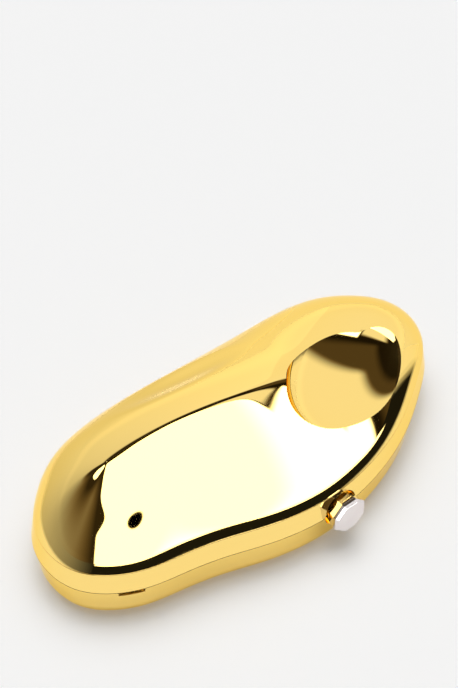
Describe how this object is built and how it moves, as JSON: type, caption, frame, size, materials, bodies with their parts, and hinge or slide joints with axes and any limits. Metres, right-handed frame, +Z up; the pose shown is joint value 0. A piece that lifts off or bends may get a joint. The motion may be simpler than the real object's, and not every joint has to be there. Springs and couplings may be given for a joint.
{
  "type": "evening clutch",
  "caption": "Hard shell evening clutch with a domed pebble-shaped lid, a pressed bowl, a back hinge and a faceted push button clasp.",
  "frame": {"origin": "middle of the case's bounding box, on the surface that it rests on", "axes": "+X along the case, +Y from the button at the front to the hinge at the back, +Z up through the lid"},
  "size_m": [0.2014, 0.1038, 0.0692],
  "materials": {
    "polished_gold": "mirror-polished gold plate",
    "satin_gold": "fine satin gold plate",
    "rose_chrome": "polished rose-tinted nickel plate",
    "works_steel": "pressed spring steel",
    "works_brass": "turned brass",
    "lining_satin": "champagne satin on a stiff backing",
    "board": "pressed grey board"
  },
  "bodies": {
    "base": {"lower_shell": "polished_gold", "base_frame": "satin_gold", "hinge_leaf_lower": "satin_gold", "hinge_pin": "polished_gold", "hinge_rivet_lower_1": "polished_gold", "hinge_rivet_lower_2": "polished_gold", "hinge_rivet_lower_3": "polished_gold", "clasp_housing": "works_steel", "stem_bush": "works_brass", "button_spring": "works_steel", "latch_spring": "works_steel", "latch_rivet_1": "works_brass", "latch_rivet_2": "works_brass", "clasp_screw_1": "works_steel", "clasp_screw_2": "works_steel", "base_lining": "lining_satin", "clasp_cover": "lining_satin", "floor_board": "board", "strap_lug": "satin_gold"},
    "lid": {"upper_shell": "polished_gold", "lid_frame": "satin_gold", "hinge_leaf_upper": "satin_gold", "hinge_rivet_upper_1": "polished_gold", "hinge_rivet_upper_2": "polished_gold", "hinge_rivet_upper_3": "polished_gold", "lid_catch": "works_steel", "catch_screw_1": "works_steel", "catch_screw_2": "works_steel", "lid_lining": "lining_satin"},
    "button": {"button_head": "rose_chrome", "button_stem": "works_steel", "stem_clip": "works_steel"}
  },
  "joints": [
    {"name": "lid_hinge", "type": "hinge", "parent": "base", "child": "lid", "pos_m": [-0.00037, 0.05001, 0.019], "axis": [-1, 0, 0], "range_deg": [0, 95]},
    {"name": "button_press", "type": "slide", "parent": "base", "child": "button", "axis": [0, 1, 0], "range_m": [0, 0.002], "stiffness_N_per_m": 800, "springref_m": -0.001, "deforming": ["button_spring", "latch_spring"]}
  ]
}
